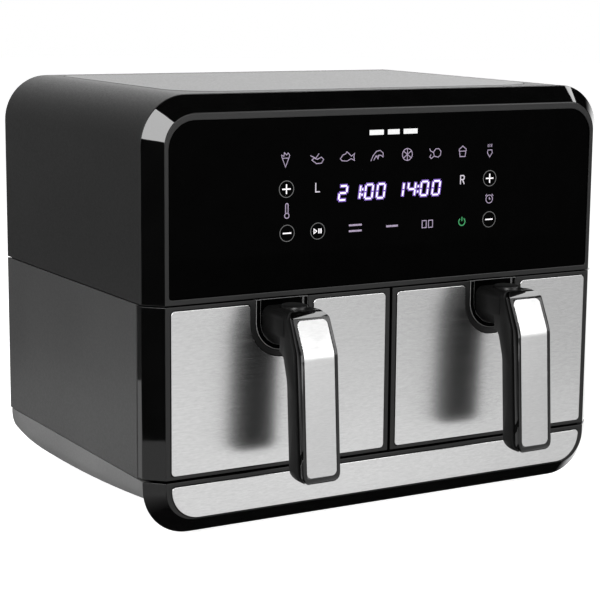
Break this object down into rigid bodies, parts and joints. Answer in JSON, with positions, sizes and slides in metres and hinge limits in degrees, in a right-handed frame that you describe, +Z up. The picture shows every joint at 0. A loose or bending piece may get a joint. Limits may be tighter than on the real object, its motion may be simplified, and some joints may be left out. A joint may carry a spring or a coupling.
{
  "type": "dual drawer air fryer",
  "caption": "Countertop air fryer with drawers side by side under a touch panel; each drawer slides out and holds a basket with a lift-out crisper plate under its own heater and fan.",
  "frame": {"origin": "on the table, under the middle of the whole outline, handles and rear vents included", "axes": "+X to the right as seen by someone facing the front, +Y towards the back, +Z up; the drawer fronts face -Y"},
  "size_m": [0.39, 0.3402, 0.3164],
  "materials": {
    "casing_black": "fine satin texture",
    "cover_grey": "satin",
    "gloss_black": "high gloss",
    "panel_black": "polished, with lit symbols behind it",
    "brushed_steel": "horizontal brushing",
    "bright_steel": "bright",
    "nonstick": "dark non-stick coating",
    "sheet_metal": "plain sheet",
    "heater": "dull oxide",
    "board_green": "printed circuit board",
    "inner_plastic": "plain",
    "rubber": "matt"
  },
  "bodies": {
    "housing": {"upper_housing": "casing_black", "top_cover": "cover_grey", "upper_fascia": "gloss_black", "control_panel": "panel_black", "front_base": "gloss_black", "bottom_trim": "brushed_steel", "base_tray": "casing_black", "inner_frame": "sheet_metal", "rear_cover": "casing_black", "mains_inlet": "rubber", "front_left_foot": "rubber", "front_right_foot": "rubber", "rear_left_foot": "rubber", "rear_right_foot": "rubber", "display_module": "inner_plastic", "control_board": "board_green", "power_board": "board_green", "left_drawer_switch": "inner_plastic", "right_drawer_switch": "inner_plastic", "left_side_panel": "casing_black", "left_exhaust_vent": "casing_black", "left_chamber": "sheet_metal", "left_heater_coil": "heater", "left_heater_guard": "sheet_metal", "left_motor": "sheet_metal", "right_side_panel": "casing_black", "right_exhaust_vent": "casing_black", "right_chamber": "sheet_metal", "right_heater_coil": "heater", "right_heater_guard": "sheet_metal", "right_motor": "sheet_metal"},
    "left_drawer": {"left_drawer_front": "gloss_black", "left_steel_plate": "brushed_steel", "left_handle_mount": "gloss_black", "left_handle_grip": "casing_black", "left_handle_bezel": "gloss_black", "left_handle_inlay": "brushed_steel", "left_button_spring": "bright_steel", "left_basket": "nonstick"},
    "left_button": {"left_release_button": "gloss_black", "left_latch_bar": "sheet_metal"},
    "left_crisper": {"left_crisper_plate": "nonstick"},
    "left_fan": {"left_hot_air_fan": "sheet_metal", "left_cooling_fan": "inner_plastic", "left_fan_shaft": "bright_steel"},
    "right_drawer": {"right_drawer_front": "gloss_black", "right_steel_plate": "brushed_steel", "right_handle_mount": "gloss_black", "right_handle_grip": "casing_black", "right_handle_bezel": "gloss_black", "right_handle_inlay": "brushed_steel", "right_button_spring": "bright_steel", "right_basket": "nonstick"},
    "right_button": {"right_release_button": "gloss_black", "right_latch_bar": "sheet_metal"},
    "right_crisper": {"right_crisper_plate": "nonstick"},
    "right_fan": {"right_hot_air_fan": "sheet_metal", "right_cooling_fan": "inner_plastic", "right_fan_shaft": "bright_steel"}
  },
  "joints": [
    {"name": "left_drawer_slide", "type": "slide", "parent": "housing", "child": "left_drawer", "axis": [0, -1, 0], "range_m": [0, 0.2]},
    {"name": "left_button_press", "type": "slide", "parent": "left_drawer", "child": "left_button", "axis": [0, 0, -1], "range_m": [0, 0.002], "stiffness_N_per_m": 400, "springref_m": -0.003, "deforming": ["left_button_spring"]},
    {"name": "left_crisper_lift", "type": "slide", "parent": "left_drawer", "child": "left_crisper", "axis": [0, 0, 1], "range_m": [0, 0.094]},
    {"name": "left_fan_spin", "type": "hinge", "parent": "housing", "child": "left_fan", "pos_m": [-0.093, 0.0206, 0.2], "axis": [0, 0, 1], "continuous": true},
    {"name": "right_drawer_slide", "type": "slide", "parent": "housing", "child": "right_drawer", "axis": [0, -1, 0], "range_m": [0, 0.2]},
    {"name": "right_button_press", "type": "slide", "parent": "right_drawer", "child": "right_button", "axis": [0, 0, -1], "range_m": [0, 0.002], "stiffness_N_per_m": 400, "springref_m": -0.003, "deforming": ["right_button_spring"]},
    {"name": "right_crisper_lift", "type": "slide", "parent": "right_drawer", "child": "right_crisper", "axis": [0, 0, 1], "range_m": [0, 0.094]},
    {"name": "right_fan_spin", "type": "hinge", "parent": "housing", "child": "right_fan", "pos_m": [0.093, 0.0206, 0.2], "axis": [0, 0, 1], "continuous": true}
  ]
}
